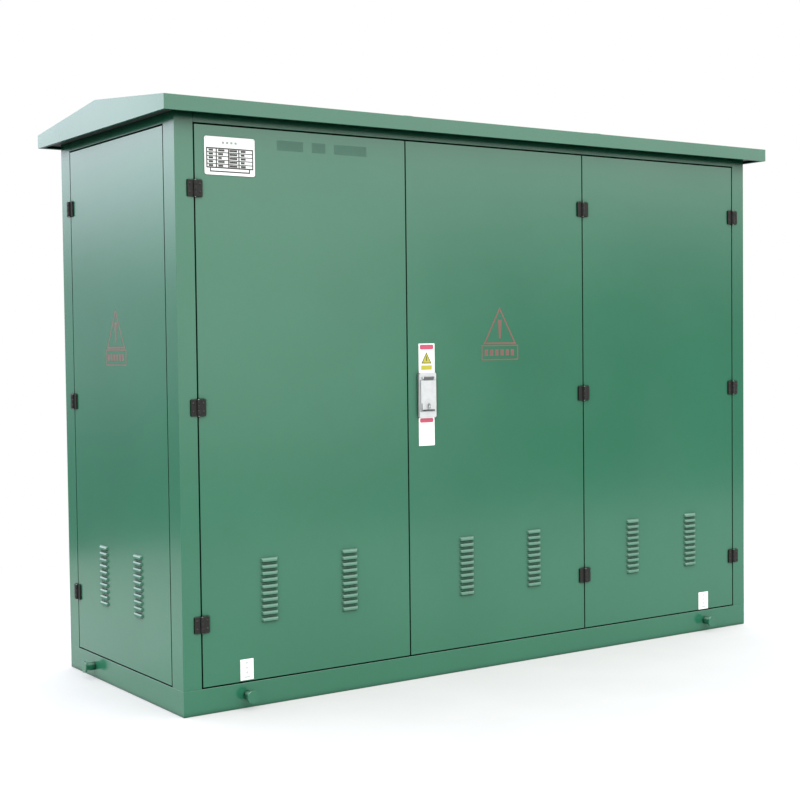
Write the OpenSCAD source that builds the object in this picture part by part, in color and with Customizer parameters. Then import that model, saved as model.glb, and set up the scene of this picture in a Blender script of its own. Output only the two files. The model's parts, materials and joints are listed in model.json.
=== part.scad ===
// Pad-mounted outdoor switchgear kiosk: a folded steel enclosure on a channel base,
// with three front leaves, two side doors, a gabled roof and a four-bay ring main
// unit with its control cabinet inside. Millimetres, front towards -Y, +Z up,
// origin on the ground under the middle of the base.

/* [Enclosure] */
// Width of the body across the front
body_w = 2550; // [2500:10:2700]
// Depth of the body from front to back
body_d = 934; // [930:2:1100]
// Height of the roof's lower edge above the ground
eave_z = 1898; // [1850:2:2000]
// Height of the base channel
base_h = 82.5; // [75:0.5:95]
// Thickness of the folded steel sheet
sheet = 2; // [1.5:0.5:2.5]
// Width of a corner post on the front, to the middle of the door gap
post_w = 67; // [60:1:80]
// Width of a corner post on the side, to the middle of the door gap
side_post_w = 82; // [70:1:95]

/* [Doors] */
// Depth of a door tray
door_t = 30; // [26:1:36]
// Gap round a door
gap = 5; // [4:0.5:6]
// Thickness of the rubber door seal
seal_t = 8; // [6:1:10]
// How far the frame's rebate reaches past the gap's middle line
lip_w = 25; // [22:1:30]

/* [Louvres] */
// Louvres in one column
louvre_rows = 10; // [4:1:10]
// Height from one louvre to the next
louvre_pitch = 21.6; // [18:0.2:24]
// Width of one louvre
louvre_w = 65; // [50:1:80]
// Height of the lowest louvre above the ground
louvre_z = 279; // [250:1:320]

/* [Hinges] */
// Height of one hinge
hinge_h = 52; // [40:1:60]
// Height from one hinge to the next on the same door
hinge_pitch = 690; // [600:5:720]
// Radius of the hinge knuckle
knuckle_r = 6; // [5:0.5:7]

/* [Roof] */
// Overhang of the roof on all four sides
overhang = 63; // [50:1:90]
// Height of the roof's upright edge
fascia_h = 47; // [40:1:60]
// Rise of the ridge above the roof's upright edge
ridge_rise = 54; // [30:1:90]

/* [Lock] */
// Place of the lock plate across the front
lock_x = -324; // [-330:1:-310]
// Height of the middle of the lock plate
lock_z = 993; // [950:1:1050]
// Gear module of the rod drive
rod_module = 2; // [2:0.1:2.1]

/* [Switchgear] */
// Bays of the ring main unit
bays = 4; // [2:1:4]
// Width of one bay
bay_w = 400; // [380:5:400]

/* [Hidden] */
$fn = 48;
PAINT = "seagreen";
EPS = 1;            // how far a cutting tool runs past the face that it opens

// Planes of the body
left_x = -body_w / 2;
right_x = body_w / 2;
front_y = -body_d / 2;
back_y = body_d / 2;
frame_top = eave_z + 10;
head_z = eave_z - 23;
door_z0 = base_h + gap;
door_z1 = head_z - gap;
door_h = door_z1 - door_z0;
door_mid_z = (door_z0 + door_z1) / 2;

// Front leaves and side doors
leaf_pitch = (body_w - 2 * post_w) / 3;
leaf_w = leaf_pitch - gap;
side_w = body_d - 2 * side_post_w - gap;
seam_left = left_x + post_w + leaf_pitch;
seam_right = seam_left + leaf_pitch;
function leaf_x(i) = left_x + post_w + i * leaf_pitch + gap / 2;

// Rebate that the door seals close on
rebate_d = door_t + seal_t + 0.3;
lip_z0 = base_h + gap / 2 + lip_w;
lip_z1 = head_z - gap / 2 - lip_w;
post_x = post_w - gap / 2;
post_y = side_post_w - gap / 2;
rail_d = 43;
mullion_w = 60;
mullion_d = 40;
flange_w = 30;
joint_gap = 0.3;    // between sheets of one assembly that are pieces of their own

// Base channel
web_t = 5;
flange_t = 6;
channel_w = 43;
anchor_r = 9;
anchor_x = 1150;
anchor_inset = 24;
floor_t = 3;
floor_top = base_h + floor_t;

// Louvre hood, as [depth, height] points from the skin outwards
HOOD = [[0, 8], [-4, 6], [-7, 1.5], [-8, -4]];
HOOD_INSIDE = [[0, 6.2], [-3.2, 4.7], [-5.6, 0.9], [-6.6, -4]];
hood_depth = 8;
hood_taper = 6;
hood_wall = 1.4;
louvre_x = 155;
side_louvre_x = 141;

// Hinges
leaf_plate_w = 26;
leaf_plate_t = 5;
hinge_off = knuckle_r + 0.2;
hinge_pin_r = 2.5;
hinge_bore_r = 2.55;
knuckle_h = 17.4;
knuckle_clear = 0.6;

// Bolts and lock rods
bolt_r = 6;
bolt_depth = 18;
bolt_len = 169;
bolt_inset = 60;
bolt_rest = 1;
keeper_r = 7;
lug_w = 24;
lug_h = 12;
side_bolt_z = 1090;

pinion_teeth = 12;
pitch_r = rod_module * pinion_teeth / 2;
addendum = 0.8 * rod_module;
dedendum = rod_module;
pressure_angle = 25;
backlash = 0.25;
tooth_pitch = PI * rod_module;
tooth_s = tooth_pitch / 2 - backlash;
rod_d0 = 17;
rod_d1 = 25;
rod_mid = (rod_d0 + rod_d1) / 2;
rod_x0 = pitch_r + dedendum + 0.5;
rod_x1 = rod_x0 + 8;
rod_cx = (rod_x0 + rod_x1) / 2;
rod_tail = 32;
spindle_z = lock_z + 8;
spindle_r = 6;
plate_w = 72;
plate_h = 157;
plate_t = 10;
pocket = 52;
pocket_d = 12;
flap_axis_d = -13.8;
flap_axis_z = lock_z + 61;
staple_z = lock_z - 38;
staple_d = -22;

// Switchgear
rmu_x0 = -1180;
rmu_x1 = rmu_x0 + bays * bay_w;
rmu_y0 = -288;
rmu_y1 = 386;
tank_y0 = -58;
tank_z0 = 480;
tank_z1 = 1180;
panel_z0 = 720;
panel_z1 = 1240;
shaft_z = 900;
shaft_r = 14;
bushing_z = 600;
cabinet_x0 = 470;
cabinet_x1 = 1180;
cabinet_y1 = 250;
cabinet_z1 = 1500;

// ---------- helpers ----------

// A box between two corners.
module slab(a, b) {
    translate(a) cube([b[0] - a[0], b[1] - a[1], b[2] - a[2]]);
}

// An outline of [y, z] points run along X.
module prism_x(points, x0, x1) {
    translate([x0, 0, 0]) rotate([90, 0, 90]) linear_extrude(x1 - x0) polygon(points);
}

// An outline of [x, z] points run along Y.
module prism_y(points, y0, y1) {
    translate([0, y1, 0]) rotate([90, 0, 0]) linear_extrude(y1 - y0) polygon(points);
}

// A round bar or hole along Y.
module rod_y(r, y0, y1) {
    translate([0, y1, 0]) rotate([90, 0, 0]) cylinder(r = r, h = y1 - y0);
}

// A rectangular ring lying flat: outer size, wall width, height.
module flat_ring(size, wall, z0, z1) {
    difference() {
        slab([-size[0] / 2, -size[1] / 2, z0], [size[0] / 2, size[1] / 2, z1]);
        slab([wall - size[0] / 2, wall - size[1] / 2, z0 - EPS],
             [size[0] / 2 - wall, size[1] / 2 - wall, z1 + EPS]);
    }
}

// A rectangle with its corners cut off, as [x, z] points.
function cut_corners(w, h, c) = [
    [-w / 2 + c, -h / 2], [w / 2 - c, -h / 2], [w / 2, -h / 2 + c], [w / 2, h / 2 - c],
    [w / 2 - c, h / 2], [-w / 2 + c, h / 2], [-w / 2, h / 2 - c], [-w / 2, -h / 2 + c]
];

// Puts a leaf's own coordinates (x along it, y into the body) on the body.
module on_front(i) { translate([leaf_x(i), front_y, door_z0]) children(); }
module on_left_side() {
    translate([left_x, side_w / 2, door_z0]) rotate([0, 0, -90]) children();
}
module on_right_side() {
    translate([right_x, -side_w / 2, door_z0]) rotate([0, 0, 90]) children();
}
module on_back(i) {
    translate([-leaf_x(i), back_y, door_z0]) rotate([0, 0, 180]) children();
}

// ---------- doors ----------

module louvre_outside(x, z) {
    translate([x, 0, z]) intersection() {
        prism_x(concat(HOOD, [[1, -4], [1, 8]]), -louvre_w / 2, louvre_w / 2);
        translate([0, 0, -10]) linear_extrude(20) polygon([
            [-louvre_w / 2, 1], [-louvre_w / 2, 0], [hood_taper - louvre_w / 2, -hood_depth],
            [louvre_w / 2 - hood_taper, -hood_depth], [louvre_w / 2, 0], [louvre_w / 2, 1]]);
    }
}

module louvre_inside(x, z) {
    inner = louvre_w / 2 - hood_wall;
    translate([x, 0, z]) intersection() {
        prism_x(concat(HOOD_INSIDE, [[-6.6, -5], [3, -5], [3, 6.2]]), -inner, inner);
        translate([0, 0, -10]) linear_extrude(20) polygon([
            [-inner, 3], [-inner, 0], [hood_taper - inner, -hood_depth],
            [inner - hood_taper, -hood_depth], [inner, 0], [inner, 3]]);
    }
}

// Four folded angles round the back of a sheet, from depth y0 to depth t.
module returns(w, y0, t) {
    side_gap = sheet + joint_gap;
    notch = flange_w + joint_gap;
    for (m = [0, 1]) translate([m * w, 0, 0]) mirror([m, 0, 0]) {
        slab([0, y0, 0], [sheet, t, door_h]);
        slab([0, t - sheet, notch], [flange_w, t, door_h - notch]);
    }
    for (m = [0, 1]) translate([0, 0, m * door_h]) mirror([0, 0, m]) {
        slab([side_gap, y0, 0], [w - side_gap, t, sheet]);
        slab([side_gap, t - sheet, 0], [w - side_gap, t, flange_w]);
    }
}

// A flat sheet with two columns of pressed louvres.
module louvred_sheet(w, column_x) {
    difference() {
        union() {
            cube([w, sheet, door_h]);
            for (side = [-1, 1], row = [0 : louvre_rows - 1])
                louvre_outside(w / 2 + side * column_x,
                               louvre_z - door_z0 + row * louvre_pitch);
        }
        for (side = [-1, 1], row = [0 : louvre_rows - 1])
            louvre_inside(w / 2 + side * column_x,
                          louvre_z - door_z0 + row * louvre_pitch);
    }
}

// A hat section across the inside of a door.
module hat(x0, x1, z) {
    difference() {
        union() {
            slab([x0, sheet, z - 20], [x1, sheet + 20, z + 20]);
            slab([x0, sheet, z - 34], [x1, 2 * sheet, z + 34]);
        }
        slab([x0 - EPS, sheet - EPS, z - 18], [x1 + EPS, sheet + 18, z + 18]);
    }
}

// The two hat sections of a door, from x0 to its far return.
module hats(x0, w) {
    for (z = [640, 1400]) hat(x0, w - sheet - joint_gap, z - door_z0);
}

// Rubber strips round the back of a door, butted at the corners; left and right say
// whether it has an upright strip on that side.
module seal(w, left, right) {
    inset = 6;
    strip = 12;
    z0 = inset + strip + joint_gap;
    x0 = left ? inset : 0.5;
    x1 = right ? w - inset : w - 0.5;
    for (z = [inset, door_h - inset - strip])
        slab([x0, door_t, z], [x1, door_t + seal_t, z + strip]);
    if (left)
        slab([inset, door_t, z0], [inset + strip, door_t + seal_t, door_h - z0]);
    if (right)
        slab([w - inset - strip, door_t, z0], [w - inset, door_t + seal_t, door_h - z0]);
}

// Lug that guides a round bolt running along Z, at height z.
module bolt_lug(x, z) {
    difference() {
        slab([x - lug_w / 2, sheet, z], [x + lug_w / 2, bolt_depth + 9, z + lug_h]);
        translate([x, bolt_depth, z - EPS]) cylinder(r = bolt_r + 0.1, h = lug_h + 2 * EPS);
    }
}

// Hole in a door's return, in the leaf's own coordinates.
module return_hole(x, depth, z, r) {
    translate([x, depth, z - 5]) cylinder(r = r, h = 10);
}

// Round bolt with a finger knob, tip at the origin, body towards -Z.
module slide_bolt() {
    translate([0, 0, -bolt_len]) cylinder(r = bolt_r, h = bolt_len);
    translate([0, 0, 9 - bolt_len]) rotate([-90, 0, 0]) cylinder(r = 4.5, h = 22);
}

// ---------- hinges ----------

// One hinge leaf; side -1 is the fixed leaf with two knuckles, +1 the moving one.
module hinge_leaf(side) {
    fixed = side < 0;
    spans = fixed ? [[-hinge_h / 2, -knuckle_h / 2 - 0.3], [knuckle_h / 2 + 0.3, hinge_h / 2]]
                  : [[-knuckle_h / 2, knuckle_h / 2]];
    cuts = fixed ? [[-knuckle_h / 2 - 0.3, knuckle_h / 2 + 0.3]]
                 : [[-hinge_h, -knuckle_h / 2], [knuckle_h / 2, hinge_h]];
    x0 = fixed ? -leaf_plate_w : 0;
    difference() {
        union() {
            difference() {
                slab([x0, -leaf_plate_t, -hinge_h / 2],
                     [x0 + leaf_plate_w, 0, hinge_h / 2]);
                for (c = cuts)
                    translate([0, -hinge_off, c[0]])
                        cylinder(r = knuckle_r + knuckle_clear, h = c[1] - c[0]);
            }
            for (s = spans)
                translate([0, -hinge_off, s[0]]) cylinder(r = knuckle_r, h = s[1] - s[0]);
        }
        translate([0, -hinge_off, -hinge_h]) cylinder(r = hinge_bore_r, h = 2 * hinge_h);
    }
}

module hinge_pin() {
    translate([0, -hinge_off, -hinge_h / 2 - 1]) cylinder(r = hinge_pin_r, h = hinge_h + 2);
}

// Places its children at the three hinges of a line at x on a leaf.
module hinge_line(x) {
    for (i = [-1 : 1])
        translate([x, 0, door_mid_z - door_z0 + i * hinge_pitch]) children();
}

// The four hinge lines on the frame; children are drawn with the door towards +X.
module frame_hinge_lines() {
    on_front(0) hinge_line(-gap / 2) children();
    on_front(2) hinge_line(leaf_w + gap / 2) mirror([1, 0, 0]) children();
    on_left_side() hinge_line(-gap / 2) children();
    on_right_side() hinge_line(side_w + gap / 2) mirror([1, 0, 0]) children();
}

module frame_hinge_leaves() color("black") frame_hinge_lines() hinge_leaf(-1);
module frame_hinge_pins() color("silver") frame_hinge_lines() hinge_pin();

// ---------- base, frame and roof ----------

module base_frame() color(PAINT) difference() {
    union() {
        flat_ring([body_w, body_d], web_t, 0, base_h);
        flat_ring([body_w, body_d], channel_w, 0, flange_t);
        flat_ring([body_w, body_d], channel_w, base_h - flange_t, base_h);
        for (x = [seam_left, seam_right]) {
            slab([x - web_t / 2, front_y + 1, 0], [x + web_t / 2, back_y - 1, base_h]);
            for (z = [0, base_h - flange_t])
                slab([x - 20, front_y + 1, z], [x + 20, back_y - 1, z + flange_t]);
        }
        sill_lips();
    }
    for (x = [-anchor_x, 0, anchor_x], side = [-1, 1])
        translate([x, side * (body_d / 2 - anchor_inset), -EPS])
            cylinder(r = anchor_r, h = flange_t + 2 * EPS);
    keeper_holes(base_h - flange_t - EPS, flange_t + 2 * EPS);
}

// Upright strips on the base that the lower door seals close on.
module sill_lips() {
    for (m = [0, 1]) mirror([0, m, 0])
        slab([left_x + post_x, front_y + rebate_d, base_h - EPS],
             [right_x - post_x, front_y + rebate_d + sheet, lip_z0]);
    for (m = [0, 1]) mirror([m, 0, 0])
        slab([left_x + rebate_d, front_y + post_y, base_h - EPS],
             [left_x + rebate_d + sheet, back_y - post_y, lip_z0]);
}

// Holes along the front for the bolts, and for one lock rod.
module keeper_holes(z, h) {
    for (x = [seam_left - bolt_inset, seam_right + bolt_inset])
        translate([x, front_y + bolt_depth, z]) cylinder(r = keeper_r, h = h);
    side = z < lock_z ? 1 : -1;
    translate([lock_x + side * rod_cx, front_y + rod_mid, z])
        cylinder(r = keeper_r, h = h);
}

module floor_plate() color("dimgray") difference() {
    inset = rebate_d + sheet + 0.7;
    slab([left_x + inset, front_y + inset, base_h], [right_x - inset, back_y - inset, floor_top]);
    for (mx = [0, 1], my = [0, 1]) mirror([mx, 0, 0]) mirror([0, my, 0])
        slab([left_x, front_y, base_h - EPS],
             [left_x + post_x + 2, front_y + post_y + 2, floor_top + EPS]);
    for (i = [0 : bays - 1])
        slab([rmu_x0 + (i + 0.5) * bay_w - 110, -250, base_h - EPS],
             [rmu_x0 + (i + 0.5) * bay_w + 110, -75, floor_top + EPS]);
    slab([cabinet_x0 + 200, -180, base_h - EPS], [cabinet_x1 - 200, 20, floor_top + EPS]);
}

// A hollow corner post with a rebate strip on each of its two inner edges.
module corner_post(bolt_hole) difference() {
    union() {
        difference() {
            slab([0, 0, base_h], [post_x, post_y, frame_top]);
            slab([sheet, sheet, base_h + sheet], [post_x - sheet, post_y - sheet, frame_top - sheet]);
        }
        slab([post_x - EPS, rebate_d, lip_z0], [post_w + lip_w, rebate_d + sheet, lip_z1]);
        slab([rebate_d, post_y - EPS, lip_z0], [rebate_d + sheet, side_post_w + lip_w, lip_z1]);
    }
    if (bolt_hole)
        translate([bolt_depth, 0, side_bolt_z]) rod_y(keeper_r, post_y - sheet - EPS, post_y + EPS);
}

// Hollow upright behind a seam between two leaves.
module mullion(x) {
    difference() {
        slab([x - mullion_w / 2, front_y + rebate_d + sheet, floor_top],
             [x + mullion_w / 2, front_y + rebate_d + mullion_d, frame_top]);
        slab([x - mullion_w / 2 + sheet, front_y + rebate_d + 2 * sheet, floor_top + sheet],
             [x + mullion_w / 2 - sheet, front_y + rebate_d + mullion_d - sheet, frame_top - sheet]);
        slab([x - mullion_w, front_y + rebate_d, head_z - EPS],
             [x + mullion_w, front_y + rail_d + 0.2, frame_top + EPS]);
    }
    slab([x - mullion_w / 2, front_y + rebate_d, lip_z0],
         [x + mullion_w / 2, front_y + rebate_d + sheet + 0.1, lip_z1]);
}

// Four corner posts, one upright behind the free seam in front and two behind.
module frame_posts() color(PAINT) {
    for (my = [0, 1], mx = [0, 1]) mirror([0, my, 0]) mirror([mx, 0, 0])
        translate([left_x, front_y, 0]) corner_post(my == 0);
    mullion(seam_left);
    mirror([0, 1, 0]) for (x = [seam_left, seam_right]) mullion(x);
}

// Hollow rail under the roof with a strip hanging behind the doors, length w along X.
module top_rail(w) {
    difference() {
        slab([-w / 2, 0, head_z], [w / 2, rail_d, frame_top]);
        slab([-w / 2 + sheet, sheet, head_z + sheet], [w / 2 - sheet, rail_d - sheet, frame_top - sheet]);
    }
    slab([-w / 2, rebate_d, lip_z1], [w / 2, rebate_d + sheet, head_z + EPS]);
}

module top_rails() color(PAINT) {
    front_w = body_w - 2 * post_x;
    side_l = body_d - 2 * post_y;
    difference() {
        translate([0, front_y, 0]) top_rail(front_w);
        keeper_holes(head_z - EPS, sheet + 2 * EPS);
    }
    rotate([0, 0, 180]) translate([0, front_y, 0]) top_rail(front_w);
    for (m = [0, 1]) mirror([m, 0, 0])
        translate([left_x, 0, 0]) rotate([0, 0, -90]) top_rail(side_l);
}

// Screw places on a back panel, in the panel's own coordinates.
SCREWS = [for (x = [13, leaf_w - 13], f = [0.02, 0.34, 0.66, 0.98]) [x, f * door_h]];

module back_panels() color(PAINT) for (i = [0 : 2]) on_back(i) difference() {
    union() {
        louvred_sheet(leaf_w, louvre_x);
        returns(leaf_w, sheet + joint_gap, rebate_d);
    }
    for (s = SCREWS) translate([s[0], 0, s[1]]) rod_y(4.3, -EPS, rebate_d + EPS);
}

module back_panel_screws() color("silver") for (i = [0 : 2], s = SCREWS)
    on_back(i) translate([s[0], 0, s[1]]) {
        rod_y(7.5, -4.5, 0);
        rod_y(4, -EPS, rebate_d - 1);
    }

module roof_cover() color(PAINT) {
    half = body_d / 2 + overhang;
    end = body_w / 2 + overhang;
    fascia_top = eave_z + fascia_h;
    difference() {
        prism_x([[-half, eave_z], [half, eave_z], [half, fascia_top],
                 [0, fascia_top + ridge_rise], [-half, fascia_top]], -end, end);
        prism_x([[sheet - half, eave_z - EPS], [half - sheet, eave_z - EPS],
                 [half - sheet, fascia_top - sheet], [0, fascia_top + ridge_rise - sheet],
                 [sheet - half, fascia_top - sheet]], sheet - end, end - sheet);
    }
    flat_ring([2 * end, 2 * half], 14, eave_z, eave_z + sheet);
}

module roof_ceiling() color(PAINT)
    slab([left_x - overhang + sheet, front_y - overhang + sheet, frame_top],
         [right_x + overhang - sheet, back_y + overhang - sheet, frame_top + sheet]);

// Headed pin welded to the base for a lifting sling, pointing along -Y.
module lifting_pin() {
    rod_y(14, -34, 0);
    rod_y(20, -41, -33);
}

module lifting_pins() color(PAINT) for (m = [0, 1]) mirror([m, 0, 0]) {
    translate([-1048, front_y, base_h / 2]) lifting_pin();
    translate([left_x, 250, base_h / 2]) rotate([0, 0, -90]) lifting_pin();
}

// ---------- switchgear ----------

// Side plate or partition: full height in front, under the tank behind.
module rmu_plate(x) prism_x([[rmu_y0, floor_top], [rmu_y1, floor_top], [rmu_y1, tank_z0],
    [tank_y0 - 2, tank_z0], [tank_y0 - 2, panel_z1], [rmu_y0, panel_z1]], x, x + sheet);

// Plates, top cover and one cable clamp rail a bay, each a piece of its own.
module rmu_frame() color("lightgray") {
    for (i = [0 : bays]) rmu_plate(i < bays ? rmu_x0 + i * bay_w : rmu_x1 - sheet);
    slab([rmu_x0, rmu_y0 - sheet, panel_z1 + joint_gap],
         [rmu_x1, tank_y0 - 2, panel_z1 + joint_gap + sheet]);
    for (i = [0 : bays - 1])
        slab([rmu_x0 + i * bay_w + sheet + joint_gap, -160, 280],
             [rmu_x0 + (i + 1) * bay_w - sheet - joint_gap, -120, 300]);
}

module gas_tank() color("silver") difference() {
    slab([rmu_x0 + 4, tank_y0, tank_z0], [rmu_x1 - 4, rmu_y1 - 2, tank_z1]);
    slab([rmu_x0 + 7, tank_y0 + 3, tank_z0 + 3], [rmu_x1 - 7, rmu_y1 - 5, tank_z1 - 3]);
}

// Three busbars behind the switch poles, with a link forward to each pole.
module busbars() color("chocolate") for (i = [0 : 2]) {
    z = 860 + i * 110;
    slab([rmu_x0 + 60, 280, z], [rmu_x1 - 60, 290, z + 40]);
    for (b = [0 : bays - 1]) translate([rmu_x0 + (b + 0.5) * bay_w + (i - 1) * 110, 0, z])
        slab([-10, 180, 5], [10, 281, 25]);
}

// Insulated switch poles between the busbars and the bushings, three in a bay.
module switch_poles() color("sienna") for (b = [0 : bays - 1], p = [-1 : 1])
    translate([rmu_x0 + (b + 0.5) * bay_w + p * 110, 0, 0]) {
        slab([-30, 60, 560], [30, 180, 1100]);
        translate([0, 0, bushing_z]) rod_y(22, tank_y0 + 4, 60);
    }

module mechanism_panels() color("whitesmoke") for (b = [0 : bays - 1])
    translate([rmu_x0 + (b + 0.5) * bay_w, 0, 0]) difference() {
        slab([1 - bay_w / 2, rmu_y0 - sheet, panel_z0], [bay_w / 2 - 1, rmu_y0, panel_z1]);
        translate([0, 0, shaft_z]) rod_y(shaft_r + 0.6, rmu_y0 - sheet - EPS, rmu_y0 + EPS);
        for (x = [-80, 0, 80]) translate([x, 0, 1130])
            rod_y(9, rmu_y0 - sheet - EPS, rmu_y0 + EPS);
        slab([-60, rmu_y0 - sheet - EPS, 1010], [60, rmu_y0 + EPS, 1050]);
    }

// Operating shaft of one bay: hexagon socket, pointer disc and shaft.
module switch_shaft(b) color("dimgray")
    translate([rmu_x0 + (b - 0.5) * bay_w, 0, shaft_z]) difference() {
        union() {
            rod_y(shaft_r, -306, tank_y0 - 1);
            rod_y(20, -306, -296);
            rod_y(40, -297, -293);
            slab([-5, -297, 36], [5, -293, 50]);
        }
        translate([0, -295, 0]) rotate([90, 0, 0]) cylinder(r = 8, h = 20, $fn = 6);
    }

module cable_bushings() color("firebrick") for (b = [0 : bays - 1], p = [-1 : 1])
    translate([rmu_x0 + (b + 0.5) * bay_w + p * 110, tank_y0, bushing_z])
        rotate([90, 0, 0]) {
            cylinder(r = 50, h = 12);
            translate([0, 0, 11]) cylinder(r1 = 35, r2 = 28, h = 90);
            translate([0, 0, 100]) cylinder(r = 8, h = 20);
        }

module cable_covers() color("gainsboro") for (b = [0 : bays - 1])
    translate([rmu_x0 + (b + 0.5) * bay_w, 0, 0]) {
        difference() {
            slab([1 - bay_w / 2, rmu_y0 - sheet, 95], [bay_w / 2 - 1, rmu_y0, panel_z0 - 2]);
            slab([-70, rmu_y0 - sheet - EPS, 560], [70, rmu_y0 + EPS, 640]);
        }
        for (x = [-60, 50]) slab([x, -305, 490], [x + 10, rmu_y0 - sheet, 500]);
        slab([-60, -315, 490], [60, -305, 500]);
    }

module earth_bar() color("peru") {
    difference() {
        slab([-1150, -345, 100], [1150, -340, 140]);
        for (x = [-1100 : 200 : 1100]) translate([x, 0, 120]) rod_y(6.5, -350, -335);
    }
    for (x = [-1050 : 420 : 1050])
        slab([x, -340, floor_top], [x + 20, -322, 128]);
}

// Open-fronted box of six plates, with two shelves.
module control_cabinet() color("lightgray") {
    side_gap = sheet + joint_gap;
    difference() {
        slab([cabinet_x0, rmu_y0, floor_top], [cabinet_x1, cabinet_y1, floor_top + sheet]);
        slab([cabinet_x0 + 200, -180, floor_top - EPS],
             [cabinet_x1 - 200, 20, floor_top + sheet + EPS]);
    }
    slab([cabinet_x0, rmu_y0, cabinet_z1 - sheet], [cabinet_x1, cabinet_y1, cabinet_z1]);
    for (x = [cabinet_x0, cabinet_x1 - sheet])
        slab([x, rmu_y0, floor_top + side_gap], [x + sheet, cabinet_y1, cabinet_z1 - side_gap]);
    slab([cabinet_x0 + side_gap, cabinet_y1 - sheet, floor_top + side_gap],
         [cabinet_x1 - side_gap, cabinet_y1, cabinet_z1 - side_gap]);
    for (z = [480, 900])
        slab([cabinet_x0 + side_gap, -200, z],
             [cabinet_x1 - side_gap, cabinet_y1 - side_gap, z + 3]);
}

module control_cabinet_cover() color("whitesmoke") difference() {
    slab([cabinet_x0, rmu_y0 - sheet, floor_top], [cabinet_x1, rmu_y0, cabinet_z1]);
    slab([cabinet_x0 + 150, rmu_y0 - sheet - EPS, 1140],
         [cabinet_x1 - 150, rmu_y0 + EPS, 1340]);
    for (i = [0 : 5])
        slab([cabinet_x0 + 200, rmu_y0 - sheet - EPS, 200 + i * 30],
             [cabinet_x1 - 200, rmu_y0 + EPS, 208 + i * 30]);
}

// Power supply with the terminal unit on it on the upper shelf, batteries on the lower one.
module control_modules() color("slategray") {
    slab([cabinet_x0 + 80, -150, 903], [cabinet_x1 - 80, 60, 1090]);
    slab([cabinet_x0 + 160, -200, 1090 + joint_gap], [cabinet_x1 - 160, 60, 1330]);
    for (x = [cabinet_x0 + 90, cabinet_x0 + 270, cabinet_x0 + 450])
        slab([x, -130, 483], [x + 160, 60, 660]);
}

// ---------- front leaves ----------

module door_left_skin() color(PAINT) on_front(0) louvred_sheet(leaf_w, louvre_x);

// Returns, hat sections and bolt lugs of a leaf with its two bolts at x.
module bolted_leaf_stiffeners(x) {
    difference() {
        returns(leaf_w, sheet, door_t);
        for (z = [0, door_h]) return_hole(x, bolt_depth, z, bolt_r + 0.6);
    }
    hats(sheet + joint_gap, leaf_w);
    for (z = [57, 117, door_h - 69, door_h - 129]) bolt_lug(x, z);
}

module door_left_stiffeners() color(PAINT)
    on_front(0) bolted_leaf_stiffeners(leaf_w + gap / 2 - bolt_inset);

module door_left_seal() color("black") on_front(0) seal(leaf_w, true, true);

module door_left_hinge_leaves() color("black") on_front(0) hinge_line(-gap / 2) hinge_leaf(1);

module nameplate() color("white")
    slab([-1171.5, front_y - 1.5, 1714.5], [-991.5, front_y, 1835.5]);

module upper_bolt(x) color("silver")
    translate([x, front_y + bolt_depth, door_z1 - bolt_rest]) slide_bolt();

module lower_bolt(x) color("silver")
    translate([x, front_y + bolt_depth, door_z0 + bolt_rest])
        mirror([0, 0, 1]) slide_bolt();

module door_centre_skin() color(PAINT) on_front(1) difference() {
    louvred_sheet(leaf_w, louvre_x);
    lx = lock_x - leaf_x(1);
    half = pocket / 2 + 2.3;
    slab([lx - half, -EPS, spindle_z - door_z0 - half],
         [lx + half, sheet + EPS, spindle_z - door_z0 + half]);
}

// Guide block for a lock rod; x is the rod's middle.
module rod_guide(x, z) difference() {
    slab([x - 10, sheet, z], [x + 10, rod_d1 + 3, z + 14]);
    slab([x - 4.4, rod_d0 - 0.4, z - EPS], [x + 4.4, rod_d1 + 0.4, z + 14 + EPS]);
}

module door_centre_stiffeners() color(PAINT) on_front(1) {
    lx = lock_x - leaf_x(1);
    difference() {
        returns(leaf_w, sheet, door_t);
        return_hole(lx - rod_cx, rod_mid, door_h, keeper_r);
        return_hole(lx + rod_cx, rod_mid, 0, keeper_r);
    }
    hats(lx + rod_x1 + 14, leaf_w);
    for (z = [1250, 1700]) rod_guide(lx - rod_cx, z - door_z0);
    for (z = [250, 700]) rod_guide(lx + rod_cx, z - door_z0);
}

module door_centre_seal() color("black") on_front(1) seal(leaf_w, true, false);

module door_centre_hinge_leaves() color("black")
    on_front(1) hinge_line(leaf_w + gap / 2) mirror([1, 0, 0]) hinge_leaf(1);

module door_right_skin() color(PAINT) on_front(2) louvred_sheet(leaf_w, louvre_x);

module door_right_stiffeners() color(PAINT) on_front(2) {
    bolted_leaf_stiffeners(bolt_inset - gap / 2);
    cover_strip();
}

// Strip on the right leaf that covers the folding seam from inside.
module cover_strip() {
    slab([2, door_t + joint_gap, 32], [17, door_t + 3, door_h - 32]);
    slab([-28, door_t + 1, 32], [3, door_t + 3, door_h - 32]);
}

module door_right_seal() color("black") on_front(2) seal(leaf_w, false, true);

module door_right_hinge_leaves() color("black") on_front(2) {
    hinge_line(leaf_w + gap / 2) mirror([1, 0, 0]) hinge_leaf(1);
    hinge_line(-gap / 2) mirror([1, 0, 0]) hinge_leaf(-1);
}

module fold_hinge_pins() color("silver") on_front(2) hinge_line(-gap / 2) hinge_pin();

// ---------- lock on the centre leaf ----------

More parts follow.
